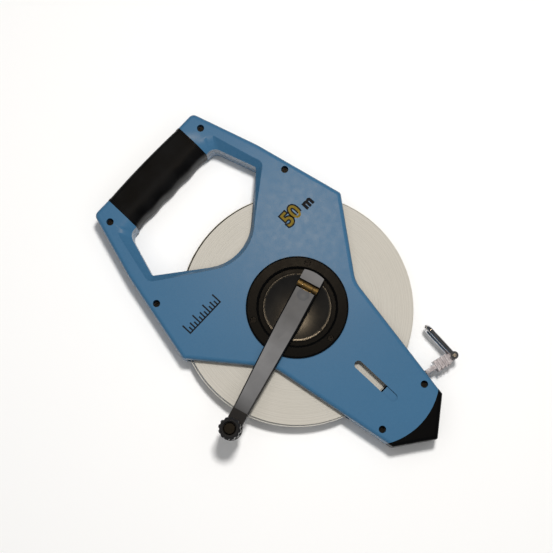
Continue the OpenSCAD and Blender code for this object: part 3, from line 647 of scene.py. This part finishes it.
def grip_collars():
    """Raised rubber lips where the grip meets the frame, following the grip's section."""
    width, swell = 2.6 * MM, 1.022
    middle = ((GRIP_LOW.x + GRIP_HIGH.x) / 2, 0, (GRIP_LOW.z + GRIP_HIGH.z) / 2)
    ends = {"low": (GRIP_LOW.y, GRIP_LOW.y + width), "high": (GRIP_HIGH.y - width, GRIP_HIGH.y)}
    for side, (y_low, y_high) in ends.items():
        piece = loose_copy("handle_grip", "grip_lip_" + side)
        for y, above in ((y_low, True), (y_high, False)):
            edit(piece)
            bpy.ops.mesh.remove_doubles(threshold=WELD)
            bpy.ops.mesh.select_all(action="SELECT")
            bpy.ops.mesh.bisect(plane_co=(0, y, 0), plane_no=(0, 1, 0), use_fill=True,
                                clear_inner=above, clear_outer=not above)
            close()
        edit(piece)
        bpy.ops.transform.resize(value=(swell, 1, swell), center_override=middle)
        close()
        apply_modifier(piece, "BEVEL", width=0.5 * MM, segments=3, limit_method="ANGLE",
                       angle_limit=math.radians(40))
        smooth(piece)
        paint(piece, MATERIALS["black_rubber"])
        belongs(piece, "frame")


# ---------------------------------------------------------------- floor, lights and camera

def pale_floor():
    """A wide matt floor, a hair under the reel."""
    bpy.ops.object.select_all(action="DESELECT")
    bpy.ops.mesh.primitive_plane_add(size=8, location=(0, 0, CAD_BOX[0][2] - 0.05 * MM))
    floor = bpy.context.object
    floor.name = floor.data.name = "floor"
    finish = Finish("floor", (0.93, 0.93, 0.93), 0.9, specular=0.0)
    finish.bump(finish.noise(300, 2), 0.02, 0.2)
    paint(floor, finish.material)


def area_light(name, place, target, size, power, colour=(1, 1, 1)):
    """A round lamp of this diameter, in metres, and power, in watts, aimed at a point."""
    light = bpy.data.lights.new(name, "AREA")
    light.shape = "DISK"
    light.size = size
    light.energy = power
    light.color = colour
    lamp = bpy.data.objects.new(name, light)
    bpy.context.scene.collection.objects.link(lamp)
    lamp.location = place
    lamp.rotation_euler = (Vector(target) - Vector(place)).to_track_quat("-Z", "Y").to_euler()
    return lamp


def studio_lights():
    """A soft key and a broad fill for form, a warm lamp that only gloss shows, and a dim surround."""
    key = area_light("key", (-0.10, 0.25, 1.5), (0, 0, 0), 0.16, 18, (1.0, 0.98, 0.95))
    key.visible_glossy = False
    fill = area_light("fill", (0.1, -0.1, 2.2), (0, 0, 0), 3.0, 20)
    fill.visible_glossy = False
    glow = area_light("warm lamp", (-0.21, 0.235, 1.5), (-0.05, 0, 0), 0.16, 4.0, (1.0, 0.78, 0.52))
    glow.visible_diffuse = False
    world = bpy.data.worlds.new("surround")
    world.use_nodes = True
    world.node_tree.nodes["Background"].inputs["Color"].default_value = (1, 1, 1, 1)
    world.node_tree.nodes["Background"].inputs["Strength"].default_value = 0.07
    bpy.context.scene.world = world
    bpy.context.scene.view_settings.view_transform = "Standard"


def aim_camera():
    """Camera over the reel, a little off the vertical, with the handle at the upper left."""
    target, distance = Vector((-0.0305, 0.0071, FACE_Z)), 1.2
    turn, tilt, lean = (math.radians(degrees) for degrees in (133.3, 7.13, 0.66))
    up_flat = Vector((math.cos(turn), math.sin(turn), 0))
    right_flat = Vector((math.sin(turn), -math.cos(turn), 0))
    back = (Vector((0, 0, 1)) - up_flat * math.tan(tilt) + right_flat * math.tan(lean)).normalized()
    up = (up_flat - back * up_flat.dot(back)).normalized()
    right = up.cross(back)
    camera = bpy.data.objects.new("camera", bpy.data.cameras.new("camera"))
    bpy.context.scene.collection.objects.link(camera)
    camera.data.lens = 92.9
    camera.data.sensor_width = 36
    camera.data.clip_end = 50
    rotation = Matrix((right, up, back)).transposed().to_4x4()
    camera.matrix_world = Matrix.Translation(target + back * distance) @ rotation
    bpy.context.scene.camera = camera


aim_camera()
studio_lights()
pale_floor()
PIECES = finish_nodes()
# Painted shade on the sides of the crank's arm and root.
paint_side_shade(PIECES["crank_arm"])
paint_side_shade(PIECES["crank_bracket"])
brass_cheeks(PIECES["crank_bracket"])
matt_rim(PIECES["hub_cup"])
paint(PIECES["knob_spindle"], RIVET_DULL)
paint(PIECES["tape_outer_turn"], TAPE_FACE)
paint(PIECES["tape_lead"], TAPE_FACE)
wound_turns()
length_mark()
ruler_ticks()
window_ledge()
grip_collars()
